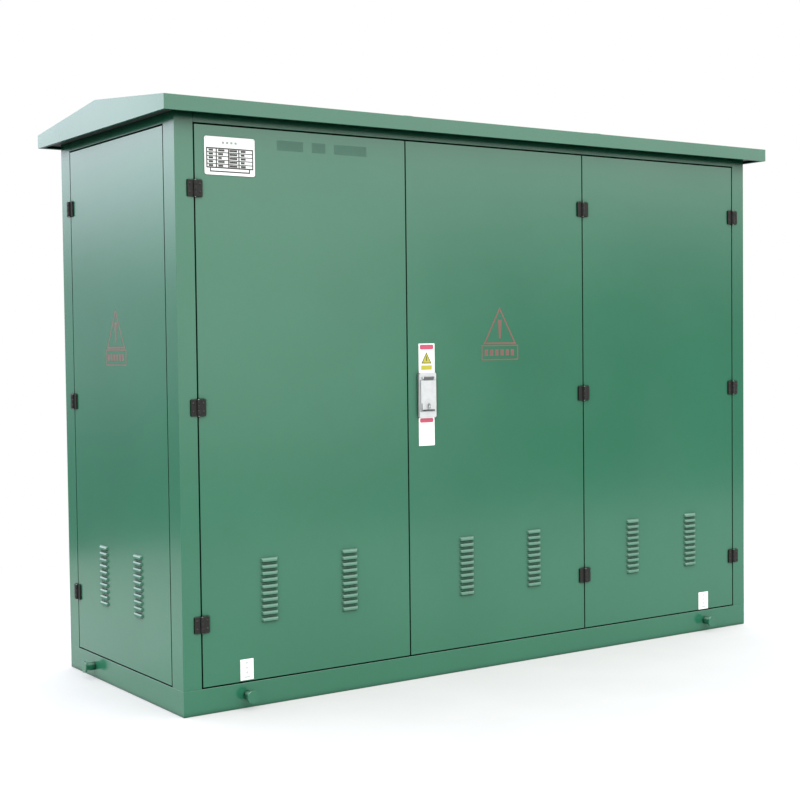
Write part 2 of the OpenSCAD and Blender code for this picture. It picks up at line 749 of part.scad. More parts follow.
module lock_housing() color("silver") translate([lock_x, front_y, 0]) {
    difference() {
        union() {
            translate([0, 0, lock_z]) prism_y(cut_corners(plate_w, plate_h, 4), -plate_t, 0);
            slab([-pocket / 2 - 2, -EPS, spindle_z - pocket / 2 - 2],
                 [pocket / 2 + 2, pocket_d, spindle_z + pocket / 2 + 2]);
        }
        slab([-pocket / 2, -plate_t - EPS, spindle_z - pocket / 2],
             [pocket / 2, pocket_d - 2, spindle_z + pocket / 2]);
        translate([0, 0, spindle_z]) rod_y(spindle_r + 0.05, 0, pocket_d + EPS);
    }
    for (x = [-26.5, 22.5]) difference() {
        slab([x, -18, flap_axis_z - 4], [x + 4, 0.1 - plate_t, flap_axis_z + 4]);
        translate([x - EPS, flap_axis_d, flap_axis_z]) rotate([0, 90, 0])
            cylinder(r = 1.55, h = 4 + 2 * EPS);
    }
    translate([-26.5, flap_axis_d, flap_axis_z]) rotate([0, 90, 0])
        cylinder(r = 1.5, h = 53);
    difference() {
        slab([-2, -30, staple_z - 8], [2, 0.1 - plate_t, staple_z + 8]);
        translate([-3, staple_d, staple_z]) rotate([0, 90, 0]) cylinder(r = 4.5, h = 6);
    }
}

// Rain flap hung on a pin along its upper edge, with a slot over the padlock staple.
module lock_flap() color("silver") translate([lock_x, front_y, 0]) difference() {
    union() {
        slab([-31, -13.6, lock_z - 56], [31, -10.6, flap_axis_z - 9]);
        slab([-22, -13.6, flap_axis_z - 10], [22, -10.6, flap_axis_z]);
        translate([-22, flap_axis_d, flap_axis_z]) rotate([0, 90, 0])
            cylinder(r = 3.1, h = 44);
        slab([-24, -16.6, lock_z - 54], [24, -13.5, lock_z - 51]);
    }
    slab([-3.4, -20, staple_z - 12.5], [3.4, -5, staple_z + 11]);
    translate([-30, flap_axis_d, flap_axis_z]) rotate([0, 90, 0]) cylinder(r = 1.55, h = 60);
}

// Gear outline from the involute of the base circle, as [x, z] points.
function polar(r, a) = [r * cos(a), r * sin(a)];
function deg(rad) = rad * 180 / PI;
function pinion_points() =
    let (rb = pitch_r * cos(pressure_angle),
         ro = pitch_r + addendum,
         root = pitch_r - dedendum,
         half = deg(tooth_s / 2 / pitch_r) + deg(tan(pressure_angle)) - pressure_angle,
         t_end = sqrt(pow(ro / rb, 2) - 1),
         flank = [for (k = [0 : 4]) let (t = t_end * k / 4)
             [rb * sqrt(1 + t * t), half - (deg(t) - atan(t))]])
    [for (i = [0 : pinion_teeth - 1]) let (c = 360 / pinion_teeth * i)
        each concat([polar(root, c - half)],
                    [for (f = flank) polar(f[0], c - f[1])],
                    [for (k = [4 : -1 : 0]) polar(flank[k][0], c + flank[k][1])],
                    [polar(root, c + half)])];

// Knob, shaft and pinion, fixed together, turning about Y.
module lock_spindle() color("silver") translate([lock_x, front_y, spindle_z]) {
    rod_y(22, 5, 9);
    slab([-19, -7, -5], [19, 5.5, 5]);
    rod_y(spindle_r, 8, 28.6);
    prism_y(pinion_points(), rod_d0, rod_d1);
}

// Channel that carries the rods past the pinion.
module lock_gearbox() color("gray") translate([lock_x, front_y, spindle_z]) difference() {
    slab([-27, pocket_d, -42], [27, 28, 42]);
    slab([-25.2, pocket_d - EPS, -43], [25.2, 26.2, 43]);
    rod_y(spindle_r + 0.05, 20, 30);
}

// Rod with its rack, side -1 for the upper rod and +1 for the lower one.
module lock_rod(side, z_end) color("silver") translate([lock_x, front_y, spindle_z]) {
    z_tip = z_end - spindle_z;
    z0 = side < 0 ? -rod_tail : z_tip;
    z1 = side < 0 ? z_tip : rod_tail;
    prism_y([[side * rod_x0, z0], [side * rod_x1, z0], [side * rod_x1, z1], [side * rod_x0, z1]],
            rod_d0, rod_d1);
    for (k = [-2 : 4])
        prism_y(rack_tooth(side, side * (k + 0.5) * tooth_pitch), rod_d0, rod_d1);
}

// One rack tooth at height z, rooted in the rod, as [x, z] points.
function rack_tooth(side, z) =
    let (tip = tooth_s / 2 - addendum * tan(pressure_angle),
         foot = tooth_s / 2 + dedendum * tan(pressure_angle))
    [[side * (pitch_r - addendum), z - tip], [side * (pitch_r - addendum), z + tip],
     [side * (pitch_r + dedendum), z + foot], [side * (rod_x0 + 0.5), z + foot],
     [side * (rod_x0 + 0.5), z - foot], [side * (pitch_r + dedendum), z - foot]];

module lock_rod_upper() lock_rod(-1, door_z1 - 3);
module lock_rod_lower() lock_rod(1, door_z0 + 3);

// ---------- side doors ----------

// Returns, hat sections and bolt lugs of a side door, with its lugs at xs.
module side_door_stiffeners(xs) {
    difference() {
        returns(side_w, sheet, door_t);
        for (x = [0, side_w]) translate([x, bolt_depth, side_bolt_z - door_z0])
            rotate([0, 90, 0]) cylinder(r = bolt_r + 0.6, h = 8, center = true);
    }
    hats(sheet + joint_gap, side_w);
    for (x = xs) side_lug(x);
}

// Lug for a bolt running along the door, in the door's own coordinates.
module side_lug(x) difference() {
    z = side_bolt_z - door_z0;
    slab([x, sheet, z - lug_w / 2], [x + lug_h, bolt_depth + 9, z + lug_w / 2]);
    translate([x - EPS, bolt_depth, z]) rotate([0, 90, 0])
        cylinder(r = bolt_r + 0.1, h = lug_h + 2 * EPS);
}

// Bolt along the door with its tip just inside the edge at x, pointing dir.
module side_bolt(x, dir) translate([x - dir * bolt_rest, bolt_depth, side_bolt_z - door_z0])
    mirror([dir < 0 ? 1 : 0, 0, 0]) rotate([0, 90, 0]) slide_bolt();

module side_door_left_skin() color(PAINT) on_left_side() louvred_sheet(side_w, side_louvre_x);
module side_door_left_stiffeners() color(PAINT)
    on_left_side() side_door_stiffeners([side_w - 69, side_w - 129]);
module side_door_left_seal() color("black") on_left_side() seal(side_w, true, true);
module side_door_left_hinge_leaves() color("black")
    on_left_side() hinge_line(-gap / 2) hinge_leaf(1);
module side_door_left_bolt() color("silver") on_left_side() side_bolt(side_w, 1);

module side_door_right_skin() color(PAINT) on_right_side() louvred_sheet(side_w, side_louvre_x);
module side_door_right_stiffeners() color(PAINT)
    on_right_side() side_door_stiffeners([57, 117]);
module side_door_right_seal() color("black") on_right_side() seal(side_w, true, true);
module side_door_right_hinge_leaves() color("black")
    on_right_side() hinge_line(side_w + gap / 2) mirror([1, 0, 0]) hinge_leaf(1);
module side_door_right_bolt() color("silver") on_right_side() side_bolt(0, -1);

// ---------- nodes ----------

base_frame();
floor_plate();
frame_posts();
top_rails();
back_panels();
back_panel_screws();
roof_cover();
roof_ceiling();
lifting_pins();
frame_hinge_leaves();
frame_hinge_pins();
rmu_frame();
gas_tank();
busbars();
switch_poles();
mechanism_panels();
cable_bushings();
cable_covers();
earth_bar();
control_cabinet();
control_cabinet_cover();
control_modules();
switch_shaft(1);  // switch_shaft_1
switch_shaft(2);  // switch_shaft_2
switch_shaft(3);  // switch_shaft_3
switch_shaft(4);  // switch_shaft_4
door_left_skin();
door_left_stiffeners();
door_left_seal();
door_left_hinge_leaves();
nameplate();
upper_bolt(seam_left - bolt_inset);  // left_bolt_upper
lower_bolt(seam_left - bolt_inset);  // left_bolt_lower
door_centre_skin();
door_centre_stiffeners();
door_centre_seal();
door_centre_hinge_leaves();
lock_housing();
lock_gearbox();
lock_flap();
lock_spindle();
lock_rod_upper();
lock_rod_lower();
door_right_skin();
door_right_stiffeners();
door_right_seal();
door_right_hinge_leaves();
fold_hinge_pins();
upper_bolt(seam_right + bolt_inset);  // right_bolt_upper
lower_bolt(seam_right + bolt_inset);  // right_bolt_lower
side_door_left_skin();
side_door_left_stiffeners();
side_door_left_seal();
side_door_left_hinge_leaves();
side_door_left_bolt();
side_door_right_skin();
side_door_right_stiffeners();
side_door_right_seal();
side_door_right_hinge_leaves();
side_door_right_bolt();
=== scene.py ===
import json
import math

import bmesh
import bpy
from mathutils import Matrix, Vector


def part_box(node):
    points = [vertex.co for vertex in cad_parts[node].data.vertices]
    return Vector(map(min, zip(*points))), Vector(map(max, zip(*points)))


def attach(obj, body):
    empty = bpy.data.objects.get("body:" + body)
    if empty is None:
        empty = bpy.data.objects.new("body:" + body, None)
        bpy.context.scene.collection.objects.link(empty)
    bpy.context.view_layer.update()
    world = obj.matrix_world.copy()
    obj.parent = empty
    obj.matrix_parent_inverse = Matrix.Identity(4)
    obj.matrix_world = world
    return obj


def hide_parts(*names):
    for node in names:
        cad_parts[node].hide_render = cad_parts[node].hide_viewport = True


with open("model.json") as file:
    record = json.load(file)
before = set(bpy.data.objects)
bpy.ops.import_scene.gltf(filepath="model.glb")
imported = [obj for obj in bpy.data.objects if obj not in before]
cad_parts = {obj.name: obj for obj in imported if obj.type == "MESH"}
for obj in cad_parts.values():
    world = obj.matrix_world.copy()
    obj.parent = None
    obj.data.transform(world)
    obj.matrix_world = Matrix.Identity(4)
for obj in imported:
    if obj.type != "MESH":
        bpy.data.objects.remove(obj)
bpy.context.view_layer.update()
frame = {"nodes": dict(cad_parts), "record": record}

nodes = frame["nodes"]
MM = 0.001

SHEET = 2              # thickness of the folded steel sheet, mm
ROOF_EDGE = 47         # height of the roof's upright edge, mm
HINGE_PITCH = 690      # height from one hinge to the next, mm
LEAF_GAP = 5           # gap beside a leaf, mm
HINGE_PROUD = 5        # how far a hinge leaf stands out from the skin, mm
LOCK_PLATE_PROUD = 10  # the lock plate's face, mm in front of the skin
FLAP_PROUD = 13.6      # the lock flap's face, mm in front of the skin
FLAP_AXIS = 13.8       # the axis of the lock flap's hinge, mm in front of the skin
FLAP_BARREL = 3.1      # radius of the lock flap's hinge barrel, mm
INK = 0.12             # thickness of a painted or printed mark, mm
PANEL_INK = 0.4        # thickness of a mark on the switchgear panels, mm
VINYL = 0.35           # thickness of a stuck label, mm
SCREW = (5.5, 0, 0.45)                  # a panel screw head: radius, how proud, and flatness
HINGE_SCREW = (3.2, HINGE_PROUD, 0.45)  # the same for a hinge screw
BAYS = 4               # switchgear bays

# Planes that the pieces are placed from
body_low, body_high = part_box("base_frame")
front_y = body_low.y
left_x, right_x = body_low.x, body_high.x


def srgb(r, g, b):
    """Linear colour of an 8-bit display colour."""
    def linear(v):
        v /= 255
        return v / 12.92 if v <= 0.04045 else ((v + 0.055) / 1.055) ** 2.4
    return (linear(r), linear(g), linear(b), 1)


WHITE, BLACK = (1, 1, 1, 1), (0, 0, 0, 1)


# ---------- camera, light and floor ----------

def make_camera():
    """A long lens in front of the left corner, at chest height."""
    place = (-3.2947, -4.64799, 1.17677)
    heading, down, roll = -34.3665, 2.2343, -0.6554
    data = bpy.data.cameras.new("camera")
    data.sensor_width = 36
    data.lens = 66.077
    data.clip_end = 200
    camera = bpy.data.objects.new("camera", data)
    turn = (Matrix.Rotation(math.radians(heading), 4, "Z")
            @ Matrix.Rotation(math.radians(90 - down), 4, "X")
            @ Matrix.Rotation(math.radians(roll), 4, "Z"))
    camera.matrix_world = Matrix.Translation(place) @ turn
    bpy.context.scene.collection.objects.link(camera)
    bpy.context.scene.camera = camera


class Tree:
    """Short calls for building a node tree."""

    def __init__(self, tree):
        self.tree = tree
        tree.nodes.clear()

    def add(self, kind, **values):
        node = self.tree.nodes.new(kind)
        for key, value in values.items():
            setattr(node, key, value)
        return node

    def join(self, source, target):
        self.tree.links.new(source, target)

    def put(self, socket, value):
        """Links a socket, or sets its value."""
        if isinstance(value, bpy.types.NodeSocket):
            self.join(value, socket)
        else:
            socket.default_value = value

    def calc(self, operation, a, b):
        node = self.add("ShaderNodeMath", operation=operation)
        self.put(node.inputs[0], a)
        self.put(node.inputs[1], b)
        return node.outputs[0]

    def ramp(self, value, low, high, to_low=0.0, to_high=1.0):
        """value from low to high as to_low to to_high, smooth, and held past the ends."""
        node = self.add("ShaderNodeMapRange", interpolation_type="SMOOTHSTEP")
        for socket, setting in zip(node.inputs, (value, low, high, to_low, to_high)):
            self.put(socket, setting)
        return node.outputs[0]

    def mix(self, factor, a, b):
        node = self.add("ShaderNodeMix", data_type="RGBA")
        self.put(node.inputs[0], factor)
        self.put(node.inputs[6], a)
        self.put(node.inputs[7], b)
        return node.outputs[2]

    def noise(self, coords, scale, detail=2.0, rough=0.5):
        node = self.add("ShaderNodeTexNoise")
        self.join(coords, node.inputs["Vector"])
        node.inputs["Scale"].default_value = scale
        node.inputs["Detail"].default_value = detail
        node.inputs["Roughness"].default_value = rough
        return node.outputs["Fac"]

    def stretched(self, coords, scale):
        node = self.add("ShaderNodeMapping")
        self.join(coords, node.inputs["Vector"])
        node.inputs["Scale"].default_value = scale
        return node.outputs["Vector"]

    def split(self, vector):
        """The x, y and z of a vector."""
        node = self.add("ShaderNodeSeparateXYZ")
        self.join(vector, node.inputs[0])
        return node.outputs


def make_world():
    """Plain white to the camera. The light itself is dim at eye level, bright in a low band above
    it and softer overhead, with a separate profile for the half behind the object."""
    world = bpy.data.worlds.new("studio")
    bpy.context.scene.world = world
    world.use_nodes = True
    t = Tree(world.node_tree)
    x, y, z = t.split(t.add("ShaderNodeTexCoord").outputs["Generated"])
    behind = t.ramp(y, -0.1, 0.5)
    overhead = t.ramp(z, 0.15, 0.42, 1, 0.40)
    front_sky = t.calc("MULTIPLY", t.ramp(z, 0.05, 0.115, 0, 2.5), overhead)
    front_sky = t.calc("ADD", front_sky, 0.38)
    rear_sky = t.calc("MULTIPLY", t.ramp(z, 0.03, 0.17, 0, 3.1), overhead)
    rear_sky = t.calc("ADD", rear_sky, t.ramp(z, -0.09, 0, 0.25, 0.7))
    # a bright panel in front on the left, which the left leaf reflects
    window = t.calc("MULTIPLY", t.ramp(x, 0.55, 0.61, 1, 0), t.ramp(y, -0.3, 0, 1, 0))
    window = t.calc("MULTIPLY", window, t.ramp(z, -0.13, -0.04, 0, 2.1))
    front_sky = t.calc("MAXIMUM", front_sky, window)
    spread = t.add("ShaderNodeMix", data_type="FLOAT")
    for socket, value in zip((0, 2, 3), (behind, front_sky, rear_sky)):
        t.join(value, spread.inputs[socket])
    glow = t.add("ShaderNodeBackground")
    t.join(t.mix(behind, WHITE, (0.96, 0.98, 1.1, 1)), glow.inputs["Color"])
    t.join(spread.outputs[0], glow.inputs["Strength"])
    plain = t.add("ShaderNodeBackground")
    plain.inputs["Color"].default_value = WHITE
    mixer = t.add("ShaderNodeMixShader")
    t.join(t.add("ShaderNodeLightPath").outputs["Is Camera Ray"], mixer.inputs[0])
    t.join(glow.outputs[0], mixer.inputs[1])
    t.join(plain.outputs[0], mixer.inputs[2])
    t.join(mixer.outputs[0], t.add("ShaderNodeOutputWorld").inputs[0])
    bpy.context.scene.view_settings.view_transform = "Standard"


def make_floor():
    """A pale floor that fades into the white behind the object."""
    near, far, half = -4.2, 3.2, 30
    mesh = bpy.data.meshes.new("studio_floor")
    corners = [(-half, near, 0), (half, near, 0), (half, far, 0), (-half, far, 0)]
    mesh.from_pydata(corners, [], [(0, 1, 2, 3)])
    floor = bpy.data.objects.new("studio_floor", mesh)
    floor.location.z = -0.0005
    bpy.context.scene.collection.objects.link(floor)
    material = bpy.data.materials.new("studio_floor")
    material.use_nodes = True
    t = Tree(material.node_tree)
    coords = t.add("ShaderNodeTexCoord").outputs["Object"]
    shade = t.add("ShaderNodeBsdfPrincipled")
    shade.inputs["Roughness"].default_value = 0.9
    tone = t.ramp(t.noise(coords, 3.0, 3), 0.3, 0.7, 0.52, 0.54)
    t.join(t.mix(tone, BLACK, WHITE), shade.inputs["Base Color"])
    shade.inputs["Emission Color"].default_value = WHITE
    shade.inputs["Emission Strength"].default_value = 0.25
    white = t.add("ShaderNodeEmission")
    white.inputs["Color"].default_value = WHITE
    mixer = t.add("ShaderNodeMixShader")
    t.join(t.ramp(t.split(coords)[1], 0.8, 2.9), mixer.inputs[0])
    t.join(shade.outputs[0], mixer.inputs[1])
    t.join(white.outputs[0], mixer.inputs[2])
    t.join(mixer.outputs[0], t.add("ShaderNodeOutputMaterial").inputs[0])
    mesh.materials.append(material)


# ---------- materials ----------

def surface(name, rough=0.5, metal=0.0, specular=0.5):
    """A material, its Tree, its shader and its object coordinates."""
    material = bpy.data.materials.new(name)
    material.use_nodes = True
    t = Tree(material.node_tree)
    shader = t.add("ShaderNodeBsdfPrincipled")
    shader.inputs["Roughness"].default_value = rough
    shader.inputs["Metallic"].default_value = metal
    shader.inputs["Specular IOR Level"].default_value = specular
    t.join(shader.outputs[0], t.add("ShaderNodeOutputMaterial").inputs[0])
    coords = t.add("ShaderNodeTexCoord").outputs["Object"]
    return material, t, shader, coords


def scaled(color, k):
    return tuple(min(c * k, 1) for c in color[:3]) + (1,)


def bump(t, shader, height, distance, strength=1.0):
    node = t.add("ShaderNodeBump")
    node.inputs["Strength"].default_value = strength
    node.inputs["Distance"].default_value = distance
    t.join(height, node.inputs["Height"])
    t.join(node.outputs[0], shader.inputs["Normal"])


def paint(name, color, rough=0.19, peel=0.00004, spread=0.04, crevice=0.0,
          nook=(0.2, 0.8), specular=0.65):
    """Powder coat: faint clouds of tone, orange peel, a dusty film on flat tops, a painted highlight
    as a lighter coat on sloping tops, painted shade on faces turned down, and painted shade in the
    gaps.

    crevice is how far in metres the shade of a gap reaches, and nook is the openness from
    which and up to which it fades."""
    # the lighter tone below is a dusty film on flat tops and a painted highlight on sloping tops
    dust_and_sheen_tone = (0.40, 0.62, 0.52, 1)
    material, t, shader, coords = surface(name, specular=specular)
    clouds = t.ramp(t.noise(coords, 1.7, 3), 0.3, 0.7)
    tone = t.mix(clouds, scaled(color, 1 - spread), scaled(color, 1 + spread))
    mottle = t.ramp(t.noise(coords, 38, 3, 0.6), 0.35, 0.65, 0, 0.08)
    tone = t.mix(mottle, tone, scaled(color, 0.86))
    up = t.split(t.add("ShaderNodeNewGeometry").outputs["Normal"])[2]
    # a patchy dusty film on flat tops; on sloping tops such as the louvre hoods a stronger even coat
    # of the lighter tone, which is a painted highlight
    dust_and_sheen = t.ramp(t.noise(coords, 7, 5, 0.6), 0.3, 0.7, 0.13, 0.17)
    dust_and_sheen = t.mix(t.ramp(up, 0.9, 0.97), (0.42, 0.42, 0.42, 1), dust_and_sheen)
    tone = t.mix(t.calc("MULTIPLY", t.ramp(up, 0.3, 0.8), dust_and_sheen), tone, dust_and_sheen_tone)
    # painted shade: faces turned down are darkened towards a tenth of the colour
    tone = t.mix(t.ramp(up, -0.9, -0.4, 0.7, 0), tone, scaled(color, 0.1))
    shine = t.calc("MULTIPLY", t.ramp(up, 0.8, 0.95, 1, 0), specular)
    # painted shade: by ambient occlusion the colour goes dark and the specular fades in gaps, recesses
    # and under parts
    if crevice:
        painted_shade_ao = t.add("ShaderNodeAmbientOcclusion", samples=6)
        painted_shade_ao.inputs["Distance"].default_value = crevice
        open_air = t.ramp(painted_shade_ao.outputs["AO"], *nook)
        tone = t.mix(open_air, scaled(color, 0.06), tone)
        shine = t.calc("MULTIPLY", shine, open_air)
    t.join(shine, shader.inputs["Specular IOR Level"])
    t.join(tone, shader.inputs["Base Color"])
    gloss = t.ramp(t.noise(coords, 2.2, 2), 0.3, 0.7, rough - 0.02, rough + 0.02)
    t.join(gloss, shader.inputs["Roughness"])
    bump(t, shader, t.noise(coords, 420, 1.5), peel, 0.6)
    return material


def bare_metal(name, color, rough=0.32, grain=(300, 300, 12), metal=1.0):
    """Brushed or plated metal with a fine grain along one axis."""
    material, t, shader, coords = surface(name, metal=metal)
    lines = t.noise(t.stretched(coords, grain), 1.0, 3, 0.6)
    tone = t.mix(t.ramp(lines, 0.3, 0.7), scaled(color, 0.95), scaled(color, 1.04))
    spots = t.ramp(t.noise(coords, 12, 3, 0.5), 0.45, 0.8, 0, 0.2)
    t.join(t.mix(spots, tone, scaled(color, 0.72)), shader.inputs["Base Color"])
    t.join(t.ramp(lines, 0.2, 0.8, rough - 0.06, rough + 0.08), shader.inputs["Roughness"])
    bump(t, shader, lines, 0.00002, 0.3)
    return material


def moulded(name, color, rough=0.45, grain=0.00006, specular=0.5):
    """Plastic, resin or rubber with a faint moulded texture."""
    material, t, shader, coords = surface(name, specular=specular)
    tone = t.ramp(t.noise(coords, 30, 3), 0.3, 0.7)
    t.join(t.mix(tone, scaled(color, 0.88), scaled(color, 1.1)), shader.inputs["Base Color"])
    gloss = t.ramp(t.noise(coords, 60, 2), 0.3, 0.7, rough - 0.05, rough + 0.07)
    t.join(gloss, shader.inputs["Roughness"])
    bump(t, shader, t.noise(coords, 900, 1), grain, 0.6)
    return material


def print_ink(name, color, wear=0.1, under=None):
    """Printed or stencilled colour, a little worn, with the ground showing through."""
    material, t, shader, coords = surface(name, rough=0.42)
    worn = t.ramp(t.noise(coords, 120, 4, 0.7), 0.5, 0.72, 0, wear)
    cloud = t.ramp(t.noise(coords, 9, 2), 0.3, 0.7)
    tone = t.mix(cloud, scaled(color, 0.93), scaled(color, 1.05))
    t.join(t.mix(worn, tone, under or scaled(color, 0.7)), shader.inputs["Base Color"])
    bump(t, shader, t.noise(coords, 420, 1.5), 0.00006, 0.5)
    return material


green = (0.017, 0.128, 0.068, 1)
materials = {
    # green_paint carries painted shade in its gaps and under parts, reaching 3 cm
    "green_paint": paint("green_paint", green, crevice=0.03),
    # painted shade under the roof's edge: occlusion reaching 13 cm darkens the top rails and posts
    # there
    "eave_painted_shade": paint("eave_painted_shade", green, crevice=0.13, nook=(0.58, 0.72)),
    # painted shade between the louvres, round hinges and plates, and in the gaps beside the leaves
    "leaf_painted_shade": paint("leaf_painted_shade", green, crevice=0.022, nook=(0.5, 0.96)),
    # hinge_black carries a little painted shade in its creases
    "hinge_black": paint("hinge_black", srgb(20, 19, 17), rough=0.5, spread=0.12, crevice=0.004,
                         specular=0.3),
    "bright_steel": bare_metal("bright_steel", (0.62, 0.62, 0.60)),
    "lock_steel": bare_metal("lock_steel", (0.56, 0.58, 0.58), rough=0.45, grain=(60, 60, 60),
                             metal=0.7),
    "seal_rubber": moulded("seal_rubber", (0.022, 0.022, 0.021), rough=0.7, specular=0.3),
    "plate_white": paint("plate_white", (0.80, 0.84, 0.81), rough=0.34, peel=0.00003, spread=0.02),
    "floor_steel": paint("floor_steel", (0.07, 0.075, 0.08), rough=0.55, spread=0.12),
    "tank_steel": bare_metal("tank_steel", (0.66, 0.67, 0.67), rough=0.3, grain=(8, 120, 120)),
    "copper": bare_metal("copper", (0.74, 0.37, 0.20), rough=0.34, grain=(9, 160, 160)),
    "brown_resin": moulded("brown_resin", (0.15, 0.045, 0.024), rough=0.3),
    "red_resin": moulded("red_resin", (0.28, 0.035, 0.022), rough=0.26),
    "panel_grey": paint("panel_grey", (0.56, 0.58, 0.55), rough=0.42, spread=0.03),
    "module_grey": moulded("module_grey", (0.085, 0.095, 0.108), rough=0.5),
    # the roof's ceiling painted near black, as the shade in the recess under the roof's edge
    "soffit_painted_shade": paint("soffit_painted_shade", (0.006, 0.022, 0.014, 1), rough=0.6),
    "jet": moulded("jet", (0.012, 0.012, 0.012), rough=0.5),
    "lamp_red": moulded("lamp_red", (0.55, 0.02, 0.015), rough=0.16, grain=0),
    "lamp_amber": moulded("lamp_amber", (0.75, 0.30, 0.02), rough=0.16, grain=0),
    "lamp_green": moulded("lamp_green", (0.02, 0.42, 0.10), rough=0.16, grain=0),
    "dial_white": moulded("dial_white", (0.80, 0.80, 0.77), rough=0.4, grain=0.00002),
    "screen": moulded("screen", (0.10, 0.16, 0.13), rough=0.12, grain=0),
}


def clear_pane():
    """Clear polycarbonate that light passes through."""
    material, t, shader, coords = surface("clear_pane", rough=0.06)
    cloud = t.ramp(t.noise(coords, 5, 2), 0.3, 0.7)
    tint = t.mix(cloud, (0.90, 0.94, 0.93, 1), (0.95, 0.98, 0.97, 1))
    t.join(tint, shader.inputs["Base Color"])
    shader.inputs["Alpha"].default_value = 0.16
    return material


materials["clear_pane"] = clear_pane()


def dress_cad_nodes():
    """Each CAD node takes the material of its slot in the record or its own variant of it.

    Edges are eased by the slot's width in metres, but not on the back panels and the roof, whose
    wide thin sheets would show the bevel as faint lines."""
    eased = {"green_paint": 0.0012, "hinge_black": 0.0006, "lock_steel": 0.0006,
             "module_grey": 0.002, "brown_resin": 0.003}
    # these variants carry painted shade: under the roof's edge on the rails and posts, a near-black
    # roof ceiling, and shade in gaps and round hinges on the leaves and back panels
    special = {"roof_ceiling": "soffit_painted_shade", "top_rails": "eave_painted_shade", "frame_posts": "eave_painted_shade",
               "back_panels": "leaf_painted_shade"}
    special.update({name: "leaf_painted_shade" for name in nodes if name.endswith("_skin")})
    for part in frame["record"]["subparts"]:
        piece, slot = nodes[part["node"]], part["material_slot"]
        mesh = piece.data
        mesh.materials.clear()
        mesh.materials.append(materials[special.get(part["node"], slot)])
        if slot in eased and part["node"] not in ("back_panels", "roof_cover"):
            # joins corners that the loaded mesh keeps apart, so that the bevel finds the edges
            piece.modifiers.new("weld", "WELD").merge_threshold = 0.00002
            add_bevel(piece, eased[slot])


# ---------- pieces ----------

class Face:
    """A flat face of the body that prints and plates lie on: u to the viewer's right, v up, in mm."""

    def __init__(self, origin, right, out):
        self.origin, self.right, self.out = Vector(origin), Vector(right), Vector(out)

    def at(self, u, v, proud):
        up = Vector((0, 0, 1))
        return self.origin + (self.right * u + up * v + self.out * proud) * MM


front = Face((0, front_y, 0), (1, 0, 0), (0, -1, 0))
left_side = Face((left_x, 0, 0), (0, -1, 0), (-1, 0, 0))
right_side = Face((right_x, 0, 0), (0, 1, 0), (1, 0, 0))


def front_of(node):
    """The plane of a node's foremost point, facing the front."""
    return Face((0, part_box(node)[0].y, 0), (1, 0, 0), (0, -1, 0))


def extent(node):
    """A node's left, right, bottom and top as seen from the front, in mm."""
    low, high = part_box(node)
    return [n / MM for n in (low.x, high.x, low.z, high.z)]


def finish_mesh(name, bm, material, body, bevel=0.0):
    """Makes the piece, puts it on its body, and eases its edges by bevel metres."""
    bmesh.ops.recalc_face_normals(bm, faces=bm.faces)
    mesh = bpy.data.meshes.new(name)
    bm.to_mesh(mesh)
    bm.free()
    piece = bpy.data.objects.new(name, mesh)
    bpy.context.scene.collection.objects.link(piece)
    mesh.materials.append(material)
    if bevel:
        add_bevel(piece, bevel)
    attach(piece, body)
    return piece


def add_bevel(piece, width):
    edge = piece.modifiers.new("edge", "BEVEL")
    edge.width = width
    edge.segments = 2
    edge.limit_method = "ANGLE"
    edge.angle_limit = math.radians(35)
    edge.use_clamp_overlap = True
    edge.harden_normals = True


def plate(bm, face, outline, low, high):
    """A flat plate with that [u, v] outline, from low to high mm proud of the face."""
    base = [bm.verts.new(face.at(u, v, low)) for u, v in outline]
    top = [bm.verts.new(face.at(u, v, high)) for u, v in outline]
    bm.faces.new(base)
    bm.faces.new(top)
    count = len(outline)
    for i in range(count):
        j = (i + 1) % count
        bm.faces.new((base[i], base[j], top[j], top[i]))


def ring(bm, face, outer, inner, low, high):
    """A flat ring between two [u, v] outlines with the same number of points."""
    loops = [[bm.verts.new(face.at(u, v, h)) for u, v in line]
             for line in (outer, inner) for h in (low, high)]
    outer_low, outer_high, inner_low, inner_high = loops
    for i in range(len(outer)):
        j = (i + 1) % len(outer)
        for a, b in ((outer_low, outer_high), (outer_high, inner_high),
                     (inner_high, inner_low), (inner_low, outer_low)):
            bm.faces.new((a[i], a[j], b[j], b[i]))


def box_outline(u0, v0, u1, v1):
    return [(u0, v0), (u1, v0), (u1, v1), (u0, v1)]


def round_outline(u0, v0, u1, v1, radius, steps=6):
    """A rectangle with round corners."""
    points = []
    for cu, cv, start in ((u1 - radius, v0 + radius, -90), (u1 - radius, v1 - radius, 0),
                          (u0 + radius, v1 - radius, 90), (u0 + radius, v0 + radius, 180)):
        for k in range(steps + 1):
            a = math.radians(start + 90 * k / steps)
            points.append((cu + radius * math.cos(a), cv + radius * math.sin(a)))
    return points


def disc_outline(u, v, radius, steps=24):
    return [(u + radius * math.cos(2 * math.pi * k / steps),
             v + radius * math.sin(2 * math.pi * k / steps)) for k in range(steps)]


def triangle_outline(cu, base_v, width, height, inset):
    """A triangle standing on base_v, each side moved in by inset."""
    slope = math.hypot(width / 2, height)
    du = inset * (slope + width / 2) / height
    dv = inset * slope / (width / 2)
    return [(cu - width / 2 + du, base_v + inset), (cu + width / 2 - du, base_v + inset),
            (cu, base_v + height - dv)]


def prints(name, face, body, material, shapes, low=0.0, thick=INK):
    """One piece made of plates; a shape is an outline, or a pair of outlines for a ring."""
    bm = bmesh.new()
    for shape in shapes:
        if isinstance(shape[0][0], tuple):
            ring(bm, face, shape[0], shape[1], low, low + thick)
        else:
            plate(bm, face, shape, low, low + thick)
    return finish_mesh(name, bm, material, body)


# ---------- marks on the doors ----------

